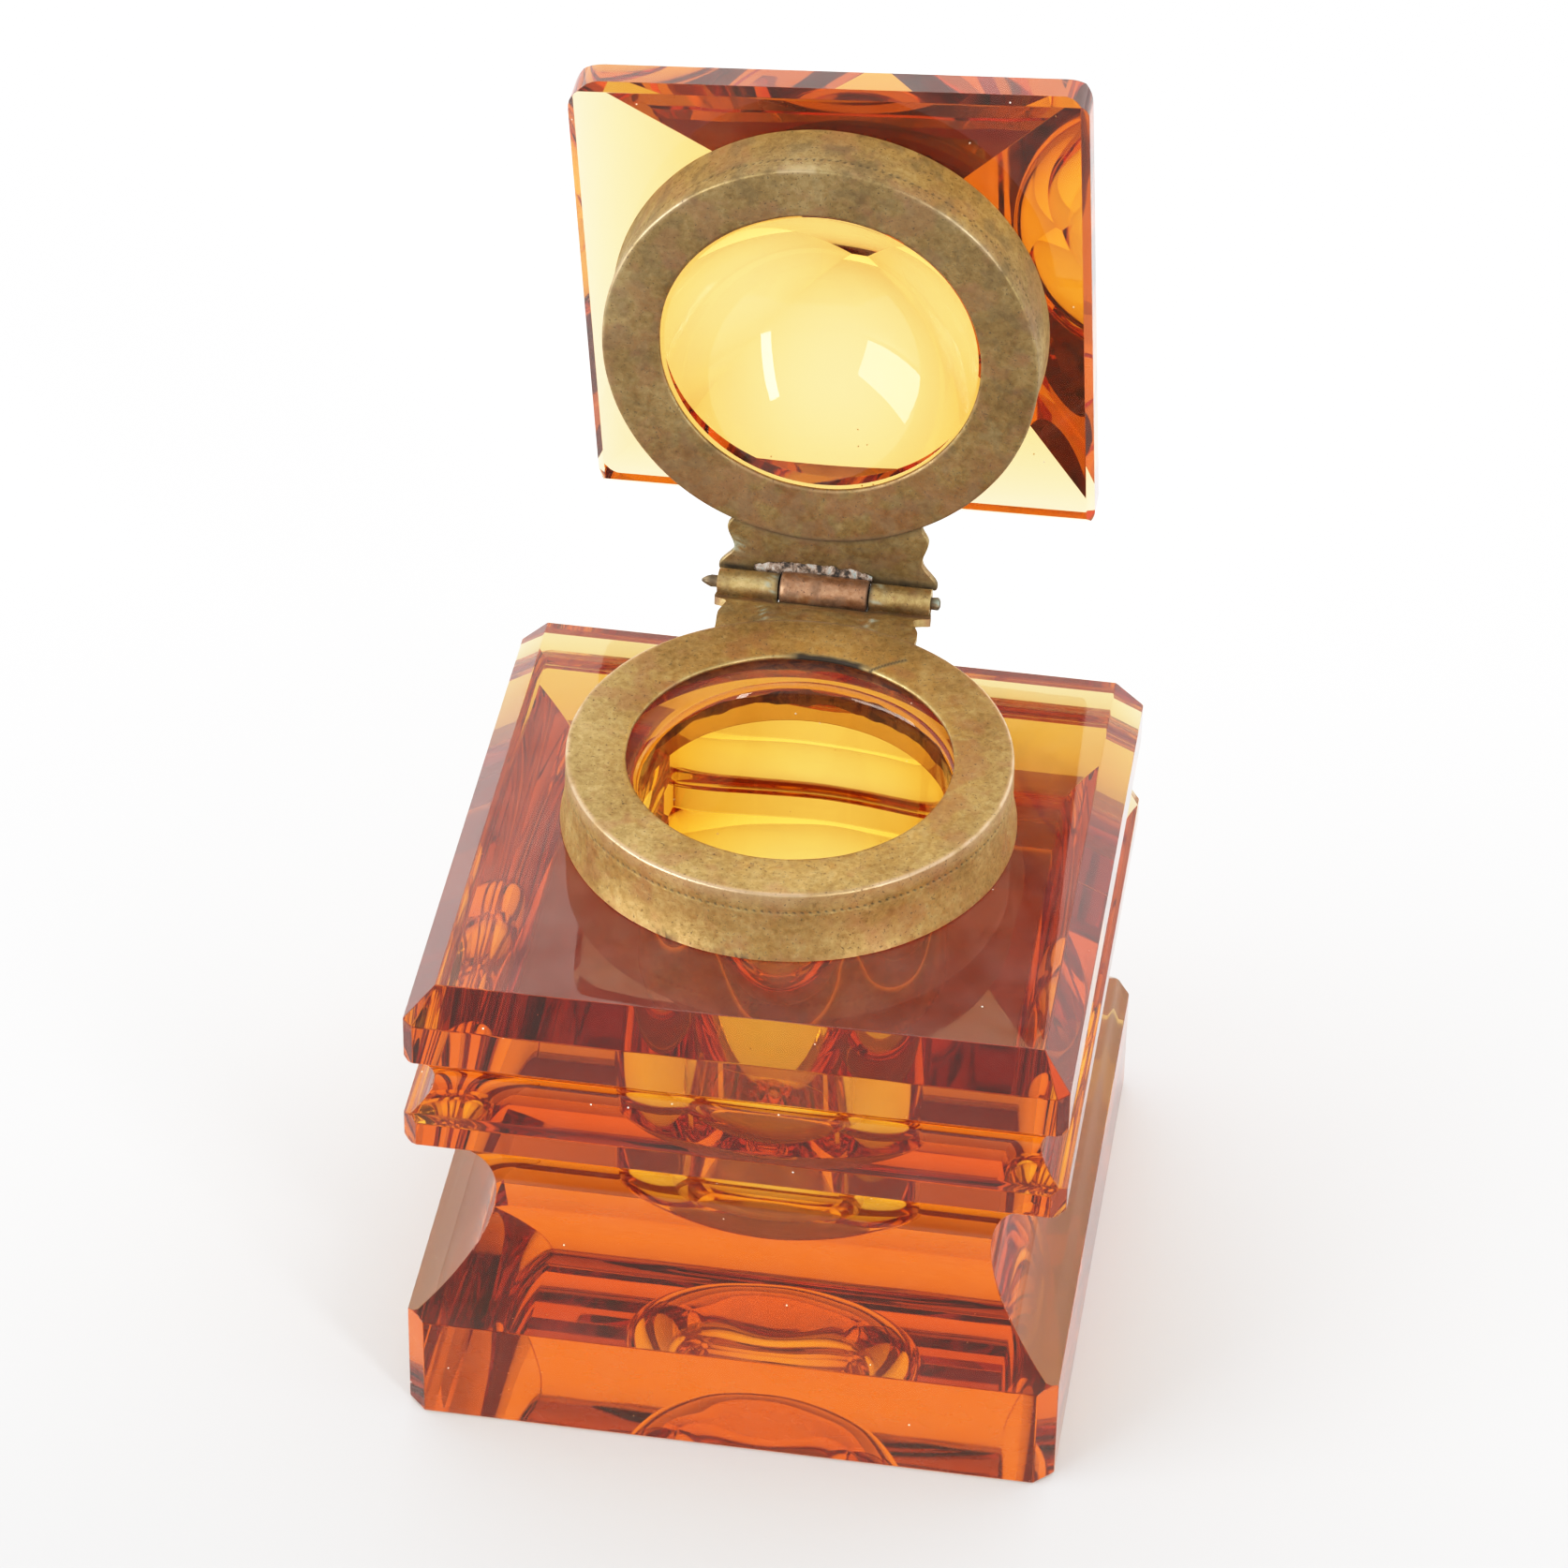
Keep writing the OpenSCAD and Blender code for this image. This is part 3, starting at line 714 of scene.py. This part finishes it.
def make_pin(material):
    """The pin: drawn to a point at its left end, blunt and crusted at its right."""
    x0, x1 = pin_low.x, pin_high.x
    point, shaft_r, rings = 1.3, PIN_R - 0.02, 12
    profile = [(x0, 0.1), (x0 + 0.12, 0.2), (x0 + 0.4, 0.36), (x0 + 0.75, PIN_R - 0.04)]
    profile += [(x0 + point + (x1 - x0 - 2) * i / rings, shaft_r) for i in range(rings + 1)]
    profile += [(x1 - 0.25, PIN_R), (x1 - 0.1, PIN_R - 0.06), (x1, 0.22)]

    def crust(x, turn):
        free = max(near(x, x0 + 0.4, 1.0), near(x, x1, 0.8))
        return wobble((x, math.cos(turn), math.sin(turn)), 0.35, 0.09) * free

    def grime_and_shade(co):
        return 0.15 + 0.5 * blotch(co, 0.5, 0, 1)

    def verdigris(co):
        return max(near(co.x, x1, 0.7), 0.6 * near(co.x, x0 + 1.1, 0.3)) * blotch(co, 0.4, -0.1, 3)

    bm = bmesh.new()
    loops = along_x(bm, profile, 24, shape=crust)
    bm.faces.new(loops[0])
    bm.faces.new(loops[-1])
    marks = {"grime_and_shade": grime_and_shade, "verdigris": verdigris}
    finish_mesh(
        bm, "hinge_pin_worn", "root", ["hinge_pin"], material, sharp=50.0, marks=marks
    )


def make_lumps(name, node, body, material, section, path, lump, taper, matrix=None):
    """A lumpy bead of solder: a closed section carried along a path, thinning at both ends.

    The path is a list of (place, direction of the section's x, direction of the section's y).
    """
    bm = bmesh.new()
    loops = []
    count = len(section)
    middle = Vector((sum(p[0] for p in section) / count, sum(p[1] for p in section) / count))
    for step, (origin, across_way, up_way) in enumerate(path):
        t = step / (len(path) - 1)
        size = 1 - taper * abs(2 * t - 1) ** 4
        points = []
        for corner in section:
            u = middle + (Vector(corner) - middle) * size
            place = origin + across_way * u.x + up_way * u.y
            swell = 1 + wobble(place, 0.55, lump) + wobble(place, 0.25, lump * 0.5, 3)
            points.append(origin + (across_way * u.x + up_way * u.y) * swell)
        loops.append(loop_at(bm, points))
    for low, high in zip(loops, loops[1:]):
        bridge(bm, low, high)
    bm.faces.new(loops[0])
    bm.faces.new(loops[-1])
    finish_mesh(bm, name, body, [node], material, matrix, 60.0)


def rounded_section(points):
    """Cuts the corners of a polygon twice, so that it becomes a soft outline."""
    for _ in range(2):
        cut = []
        for i, p in enumerate(points):
            a, b = Vector(p), Vector(points[(i + 1) % len(points)])
            cut += [tuple(a * 0.75 + b * 0.25), tuple(a * 0.25 + b * 0.75)]
        points = cut
    return points


def collar_path(centre, r, z, way):
    """Path of a fillet along the side of a collar that faces the hinge; way is up (1) or down (-1)."""
    steps, first, last = 40, 68, 112
    path = []
    for i in range(steps + 1):
        turn = math.radians(first + (last - first) * i / steps)
        out = Vector((math.cos(turn), math.sin(turn), 0))
        path.append((Vector((*centre, z)) + out * r, out, Vector((0, 0, way))))
    return path


def make_solders(material):
    """The bead over the middle knuckle and the two fillets behind the collars."""
    bead_steps = 60
    x0, x1 = middle_low.x - 2.3, middle_high.x + 0.1
    path = []
    for i in range(bead_steps + 1):
        place = Vector((x0 + (x1 - x0) * i / bead_steps, HINGE.y - 0.95, UPPER_LEAF_Z))
        path.append((place, Vector((0, 1, 0)), Vector((0, 0, 1))))
    bead = rounded_section([(-0.7, 0.1), (-0.5, -0.2), (-0.05, -0.5), (0.5, -0.45), (0.7, 0.1)])
    make_lumps("knuckle_solder_bead", "knuckle_solder", "lid", material, bead, path, 0.5, 0.7, OPENED)
    fillet = rounded_section([(0, 0.05), (0.78, 0.05), (0.35, -0.3), (0, -0.78)])
    path = collar_path(COLLAR_AT, COLLAR_R, RIM_Z - 0.7, 1)
    make_lumps("well_leaf_fillet", "well_leaf_solder", "root", material, fillet, path, 0.15, 0.5)
    path = collar_path(LID_COLLAR_AT, LID_COLLAR_R, UPPER_LEAF_Z + SHEET, -1)
    make_lumps("lid_leaf_fillet", "lid_leaf_solder", "lid", material, fillet, path, 0.15, 0.5, OPENED_ASKEW)


# ---------------------------------------------------------------- materials
# the dark of dirt, also used for painted shade in creases, joins and gaps
DIRT_AND_SHADE_BROWN = (0.035, 0.024, 0.014)
COPPER_GREEN = (0.33, 0.4, 0.34)


class Nodes:
    """Short calls for building a node tree."""

    def __init__(self, name):
        self.material = bpy.data.materials.new(name)
        self.material.use_nodes = True
        self.tree = self.material.node_tree
        self.tree.nodes.clear()
        self.out = self.tree.nodes.new("ShaderNodeOutputMaterial")
        self.shader = self.tree.nodes.new("ShaderNodeBsdfPrincipled")
        self.link(self.shader.outputs["BSDF"], self.out.inputs["Surface"])
        self.place = self.tree.nodes.new("ShaderNodeTexCoord").outputs["Object"]

    def link(self, source, target):
        self.tree.links.new(source, target)

    def put(self, target, value):
        """Links a socket, or sets a plain value."""
        if isinstance(value, bpy.types.NodeSocket):
            self.link(value, target)
        else:
            target.default_value = value

    def noise(self, size_mm, detail=4.0, rough=0.55, warp=0.0):
        """Cloudy noise from 0 to 1 with features of the given size."""
        node = self.tree.nodes.new("ShaderNodeTexNoise")
        self.link(self.place, node.inputs["Vector"])
        node.inputs["Scale"].default_value = 1 / (size_mm * MM)
        node.inputs["Detail"].default_value = detail
        node.inputs["Roughness"].default_value = rough
        node.inputs["Distortion"].default_value = warp
        return node.outputs["Fac"]

    def cells(self, size_mm):
        """Distance from the middles of scattered cells, in cell sizes."""
        node = self.tree.nodes.new("ShaderNodeTexVoronoi")
        self.link(self.place, node.inputs["Vector"])
        node.inputs["Scale"].default_value = 1 / (size_mm * MM)
        return node.outputs["Distance"]

    def ramp(self, value, *stops):
        """Colour ramp through (position, colour) stops; a plain number stands for a grey."""
        node = self.tree.nodes.new("ShaderNodeValToRGB")
        self.link(value, node.inputs["Fac"])
        band = node.color_ramp
        while len(band.elements) < len(stops):
            band.elements.new(0.5)
        for element, (position, colour) in zip(band.elements, stops):
            element.position = position
            element.color = (*colour, 1) if isinstance(colour, tuple) else (colour, colour, colour, 1)
        return node.outputs["Color"]

    def facing_up(self, *stops):
        """A ramp over how far the surface looks up, in the piece's own axes."""
        way = self.tree.nodes.new("ShaderNodeSeparateXYZ")
        self.link(self.tree.nodes.new("ShaderNodeTexCoord").outputs["Normal"], way.inputs[0])
        return self.ramp(way.outputs["Z"], *stops)

    def mark(self, name):
        """A vertex attribute of the piece; 0 where it has none."""
        node = self.tree.nodes.new("ShaderNodeAttribute")
        node.attribute_name = name
        return node.outputs["Fac"]

    def maths(self, operation, a, b):
        """A maths node, kept between 0 and 1."""
        node = self.tree.nodes.new("ShaderNodeMath")
        node.operation = operation
        node.use_clamp = True
        self.put(node.inputs[0], a)
        self.put(node.inputs[1], b)
        return node.outputs[0]

    def add(self, a, b):
        return self.maths("ADD", a, b)

    def less(self, a, b):
        return self.maths("SUBTRACT", a, b)

    def times(self, a, b):
        return self.maths("MULTIPLY", a, b)

    def larger(self, a, b):
        return self.maths("MAXIMUM", a, b)

    def mix(self, factor, a, b):
        """From colour a to colour b."""
        node = self.tree.nodes.new("ShaderNodeMix")
        node.data_type = "RGBA"
        self.put(node.inputs["Factor"], factor)
        colours = [socket for socket in node.inputs if socket.type == "RGBA"]
        for socket, value in zip(colours, (a, b)):
            self.put(socket, (*value, 1) if isinstance(value, tuple) else value)
        return next(socket for socket in node.outputs if socket.type == "RGBA")

    def bump(self, height, distance_mm, strength=1.0, under=None):
        """A bump, laid over the bump `under` if there is one."""
        node = self.tree.nodes.new("ShaderNodeBump")
        node.inputs["Strength"].default_value = strength
        node.inputs["Distance"].default_value = distance_mm * MM
        self.link(height, node.inputs["Height"])
        if under is not None:
            self.link(under, node.inputs["Normal"])
        return node.outputs["Normal"]

    def surface(self, **values):
        """Sets the shader's sockets; an underscore in a name stands for a space."""
        for name, value in values.items():
            socket = self.shader.inputs[name.replace("_", " ")]
            self.put(socket, (*value, 1) if isinstance(value, tuple) else value)


def amber_glass(name, wave_mm, let_through):
    """Clear amber glass: colour from depth, a wavy skin, a film of haze and specks of dust."""
    clear_tint, dust_colour = (1.0, 0.92, 0.86), (0.9, 0.82, 0.72)
    nodes = Nodes(name)
    dots = nodes.maths("LESS_THAN", nodes.cells(1.9), 0.036)
    dusty = nodes.maths("GREATER_THAN", nodes.noise(3.0, 2.0), 0.5)
    specks = nodes.times(dots, dusty)
    haze = nodes.ramp(nodes.noise(4.0, 6.0, 0.6), (0.3, 0.02), (0.7, 0.06))
    film = nodes.times(haze, nodes.facing_up((0.8, 0.25), (0.97, 1.0)))
    nodes.surface(
        Base_Color=nodes.mix(specks, clear_tint, dust_colour),
        Transmission_Weight=nodes.less(nodes.less(1.0, film), specks),
        Roughness=nodes.ramp(nodes.noise(5.0, 5.0), (0.35, 0.0), (0.75, 0.05)),
        IOR=1.53,
        Specular_Tint=(1.0, 0.86, 0.74),
        Normal=nodes.bump(nodes.noise(7.0, 1.0), wave_mm, 0.5),
    )
    volume = nodes.tree.nodes.new("ShaderNodeVolumeAbsorption")
    volume.inputs["Density"].default_value = 220.0
    volume.inputs["Color"].default_value = (*let_through, 1)
    nodes.link(volume.outputs["Volume"], nodes.out.inputs["Volume"])
    return nodes.material


def aged_metal(name, dark, middle, light, blush, highlight_and_rub, rough):
    """Old metal: mottled tarnish, blushes of another tone, dirt and painted shade in the creases, and worn
    edges lightened as a painted highlight.
    """
    nodes = Nodes(name)
    broad = nodes.times(nodes.noise(5.0, 3.0), 0.45)
    fine = nodes.times(nodes.noise(0.55, 6.0, 0.65, 0.5), 0.55)
    tarnish = nodes.ramp(nodes.add(broad, fine), (0.36, dark), (0.5, middle), (0.63, light))
    stray = nodes.ramp(nodes.noise(1.3, 4.0), (0.55, 0.0), (0.72, 0.5))
    blushes = nodes.times(nodes.add(nodes.mark("blush"), stray), 0.6)
    # painted highlight on worn edges and tops: it lightens the colour, and also makes the metal smoother
    highlight_and_rub_mask = nodes.mark("highlight_and_rub")
    pits = nodes.ramp(nodes.noise(0.22, 3.0, 0.6), (0.3, 0.75), (0.4, 0.0))
    # dirt and pits, with painted shade in creases, joins and gaps; all of it goes dark brown
    darkening = nodes.larger(nodes.mark("grime_and_shade"), pits)
    green = nodes.mark("verdigris")
    colour = nodes.mix(blushes, tarnish, blush)
    colour = nodes.mix(highlight_and_rub_mask, colour, highlight_and_rub)
    colour = nodes.mix(darkening, colour, DIRT_AND_SHADE_BROWN)
    colour = nodes.mix(green, colour, COPPER_GREEN)
    covered_and_shaded = nodes.larger(nodes.times(darkening, 0.8), green)
    scuffed = nodes.ramp(nodes.noise(0.9, 6.0, 0.7), (0.3, rough - 0.1), (0.7, rough + 0.14))
    dull = nodes.add(scuffed, nodes.times(covered_and_shaded, 0.35))
    dents = nodes.bump(nodes.noise(1.6, 5.0, 0.6), 0.05, 0.7)
    nodes.surface(
        Base_Color=colour,
        Metallic=nodes.less(0.92, nodes.times(covered_and_shaded, 0.85)),
        Roughness=nodes.less(dull, nodes.times(highlight_and_rub_mask, 0.14)),
        Normal=nodes.bump(nodes.noise(0.18, 3.0, 0.7), 0.014, 0.8, dents),
    )
    return nodes.material


def solder_grey():
    """Dull solder under a white and green crust."""
    nodes = Nodes("solder")
    patches = nodes.ramp(
        nodes.noise(0.8, 6.0, 0.7, 0.3),
        (0.42, (0.04, 0.03, 0.024)),
        (0.5, (0.26, 0.18, 0.13)),
        (0.57, (0.42, 0.36, 0.31)),
        (0.64, (0.3, 0.35, 0.33)),
    )
    nodes.surface(
        Base_Color=patches,
        Metallic=0.35,
        Roughness=nodes.ramp(nodes.noise(0.5), (0.3, 0.4), (0.7, 0.75)),
        Normal=nodes.bump(nodes.noise(0.25, 5.0, 0.7), 0.09, 1.0),
    )
    return nodes.material


def old_cement():
    """Plaster that has gone brown, as it shows through the neck."""
    nodes = Nodes("cement")
    stained = nodes.ramp(
        nodes.noise(1.6, 6.0, 0.6, 0.6),
        (0.36, (0.12, 0.03, 0.008)),
        (0.5, (0.33, 0.12, 0.03)),
        (0.66, (0.45, 0.2, 0.06)),
    )
    nodes.surface(
        Base_Color=stained,
        Roughness=nodes.ramp(nodes.noise(0.8), (0.3, 0.75), (0.7, 0.95)),
        Normal=nodes.bump(nodes.noise(0.35, 6.0, 0.7), 0.12, 1.0),
    )
    return nodes.material


# ---------------------------------------------------------------- the inkwell
def make_glasses():
    """The glass of the body and the lid; the lid's is a little redder and wavier."""
    make_glass_body(amber_glass("amber_glass", 0.02, (0.947, 0.797, 0.26)))
    make_lid_glass(amber_glass("lid_amber_glass", 0.05, (0.955, 0.79, 0.28)))


def make_collars(brass, lid_brass):
    """Both collars; the hole in the lid's collar sits a little away from the hinge."""
    make_collar(
        "well_collar_spun", "well_collar", "root", brass, COLLAR_AT, RIM_Z - RIM_PLAY,
        COLLAR_R, COLLAR_H, SKIRT_FLARE - FLARE_PLAY, hole_shift=0.0, marks=well_collar_marks(),
    )
    make_collar(
        "lid_collar_spun", "lid_collar", "lid", lid_brass, LID_COLLAR_AT, LID_RIM_Z + RIM_PLAY,
        LID_COLLAR_R, LID_COLLAR_H, LID_SKIRT_FLARE, hole_shift=-0.25, marks=lid_collar_marks(),
        matrix=OPENED_ASKEW,
    )


def make_cements():
    """Both rings of cement; they sink a hair into the glass, so that no air mirrors them away."""
    cement = old_cement()
    clear, sunk = SHEET + 0.02, 0.06
    make_cement(
        "well_cement_ring", "well_cement", "root", cement,
        outside=(COLLAR_R - clear, COLLAR_AT), hole=(NECK_R - sunk, NECK_AT),
        start=NECK_TOP, end=TOP_Z + 1.6, ragged=0.5,
    )
    make_cement(
        "lid_cement_ring", "lid_cement", "lid", cement,
        outside=(LID_COLLAR_R - clear, LID_COLLAR_AT), hole=(LID_BOSS_R - sunk, LID_COLLAR_AT),
        start=LID_BOSS_Z, end=LID_GLASS_Z - 1.5, ragged=0.4, matrix=OPENED_ASKEW,
    )


def make_inkwell():
    """All the pieces; a metal's colours are dark, middle, light, blush, and the painted highlight on its
    worn edges.
    """
    brass = aged_metal(
        "aged_brass", (0.33, 0.225, 0.09), (0.48, 0.345, 0.15), (0.6, 0.465, 0.23),
        (0.43, 0.23, 0.13), (0.7, 0.5, 0.33), 0.46,
    )
    lid_brass = aged_metal(
        "lid_brass", (0.23, 0.155, 0.068), (0.33, 0.235, 0.105), (0.42, 0.32, 0.16),
        (0.36, 0.2, 0.12), (0.62, 0.47, 0.3), 0.48,
    )
    copper = aged_metal(
        "copper", (0.36, 0.19, 0.1), (0.52, 0.3, 0.18), (0.62, 0.42, 0.27),
        (0.55, 0.27, 0.16), (0.82, 0.66, 0.45), 0.4,
    )
    pin_brass = aged_metal(
        "pin_brass", (0.16, 0.115, 0.07), (0.28, 0.21, 0.13), (0.38, 0.3, 0.19),
        (0.3, 0.18, 0.12), (0.5, 0.4, 0.25), 0.5,
    )
    make_glasses()
    make_collars(brass, lid_brass)
    make_cements()
    make_well_leaf(brass)
    make_lid_leaf(lid_brass)
    make_middle_knuckle(copper)
    make_pin(pin_brass)
    make_solders(solder_grey())


# ---------------------------------------------------------------- camera, floor and light
AIM = Vector((-0.2, 0.0, 45.05)) * MM
CAMERA_AZIMUTH, CAMERA_ELEVATION, CAMERA_ROLL = 8.28, 38.22, 1.06
CAMERA_DISTANCE = 486.5 * MM
CAMERA_LENS, CAMERA_SENSOR = 148.6, 36
FLOOR_HALF, FLOOR_GAP = 3.0, 0.2 * MM
FLOOR_DARK_Y, FLOOR_PALE_Y = -0.15, 0.08


def direction(azimuth, elevation):
    """Unit vector from the object towards a viewer; azimuth 0 is in front and grows to the right."""
    azimuth, elevation = math.radians(azimuth), math.radians(elevation)
    return Vector((
        math.sin(azimuth) * math.cos(elevation),
        -math.cos(azimuth) * math.cos(elevation),
        math.sin(elevation),
    ))


def make_camera():
    """A long lens, looking down at the open inkwell from a little right of its front."""
    back = direction(CAMERA_AZIMUTH, CAMERA_ELEVATION)
    data = bpy.data.cameras.new("camera")
    data.lens = CAMERA_LENS
    data.sensor_width = CAMERA_SENSOR
    camera = bpy.data.objects.new("camera", data)
    bpy.context.scene.collection.objects.link(camera)
    camera.location = AIM + back * CAMERA_DISTANCE
    roll = Matrix.Rotation(math.radians(CAMERA_ROLL), 4, "Z")
    aimed = (-back).to_track_quat("-Z", "Y").to_matrix().to_4x4()
    camera.rotation_euler = (aimed @ roll).to_euler()
    bpy.context.scene.camera = camera


def make_floor():
    """A pale floor with painted shade that darkens it towards the front, with a hair of air under the
    glass.
    """
    bm = bmesh.new()
    bmesh.ops.create_grid(bm, x_segments=1, y_segments=1, size=FLOOR_HALF)
    bmesh.ops.translate(bm, vec=(0, 0, -FLOOR_GAP), verts=bm.verts)
    mesh = bpy.data.meshes.new("floor")
    bm.to_mesh(mesh)
    bm.free()
    floor = bpy.data.objects.new("floor", mesh)
    bpy.context.scene.collection.objects.link(floor)
    nodes = Nodes("floor")
    split = nodes.tree.nodes.new("ShaderNodeSeparateXYZ")
    nodes.link(nodes.place, split.inputs[0])
    depth = nodes.tree.nodes.new("ShaderNodeMapRange")
    nodes.link(split.outputs["Y"], depth.inputs["Value"])
    depth.inputs["From Min"].default_value = FLOOR_DARK_Y
    depth.inputs["From Max"].default_value = FLOOR_PALE_Y
    nodes.surface(
        # painted shade: the floor's colour darkens from the back towards the front
        Base_Color=nodes.ramp(depth.outputs["Result"], (0.0, 0.42), (1.0, 0.93)),
        Roughness=0.9,
        Normal=nodes.bump(nodes.noise(2.0), 0.05, 0.4),
    )
    mesh.materials.append(nodes.material)


def make_world():
    """White all round: brighter behind the object, dimmer in front of it and overhead.

    The strength is a level across the room (Y) times a level up it (Z).
    """
    world = bpy.data.worlds.new("studio")
    bpy.context.scene.world = world
    world.use_nodes = True
    tree = world.node_tree
    way = tree.nodes.new("ShaderNodeSeparateXYZ")
    tree.links.new(tree.nodes.new("ShaderNodeTexCoord").outputs["Generated"], way.inputs[0])
    levels = []
    for axis, start, end, at_start, at_end in (("Y", -1.0, 1.0, 0.7, 1.9), ("Z", 0.6, 0.95, 1.0, 0.8)):
        level = tree.nodes.new("ShaderNodeMapRange")
        level.inputs["From Min"].default_value = start
        level.inputs["From Max"].default_value = end
        level.inputs["To Min"].default_value = at_start
        level.inputs["To Max"].default_value = at_end
        tree.links.new(way.outputs[axis], level.inputs["Value"])
        levels.append(level.outputs["Result"])
    strength = tree.nodes.new("ShaderNodeMath")
    strength.operation = "MULTIPLY"
    tree.links.new(levels[0], strength.inputs[0])
    tree.links.new(levels[1], strength.inputs[1])
    background = tree.nodes["Background"]
    background.inputs["Color"].default_value = (1, 1, 1, 1)
    tree.links.new(strength.outputs[0], background.inputs["Strength"])


def softbox(name, azimuth, elevation, distance, width, height, power):
    """A rectangular lamp that looks at the object; it shows in mirrored light, not through the glass."""
    way = direction(azimuth, elevation)
    data = bpy.data.lights.new(name, "AREA")
    data.shape = "RECTANGLE"
    data.size = width
    data.size_y = height
    data.energy = power
    lamp = bpy.data.objects.new(name, data)
    bpy.context.scene.collection.objects.link(lamp)
    lamp.location = AIM + way * distance
    lamp.rotation_euler = way.to_track_quat("Z", "Y").to_euler()
    lamp.visible_transmission = False


def tone_curve():
    """A print-like curve: slightly deeper shadows, and highlights that roll off towards white."""
    settings = bpy.context.scene.view_settings
    settings.view_transform = "Standard"
    settings.use_curve_mapping = True
    mapping = settings.curve_mapping
    white = 2.0
    mapping.white_level = (white, white, white)
    curve = mapping.curves[3]
    for scene_value, shown in ((0.06, 0.05), (0.2, 0.195), (0.5, 0.52), (1.0, 0.93), (1.25, 0.99)):
        curve.points.new(scene_value / white, shown)
    mapping.update()


def light_depth():
    """Light has to cross many glass faces before it leaves."""
    cycles = bpy.context.scene.cycles
    cycles.max_bounces = 48
    cycles.glossy_bounces = 40
    cycles.transmission_bounces = 40
    cycles.diffuse_bounces = 6


make_inkwell()
make_camera()
make_floor()
make_world()
softbox("left_softbox", azimuth=-54, elevation=14.5, distance=0.9, width=0.75, height=0.45, power=7)
softbox("right_softbox", azimuth=44, elevation=15, distance=0.8, width=0.1, height=0.8, power=3.2)
tone_curve()
light_depth()
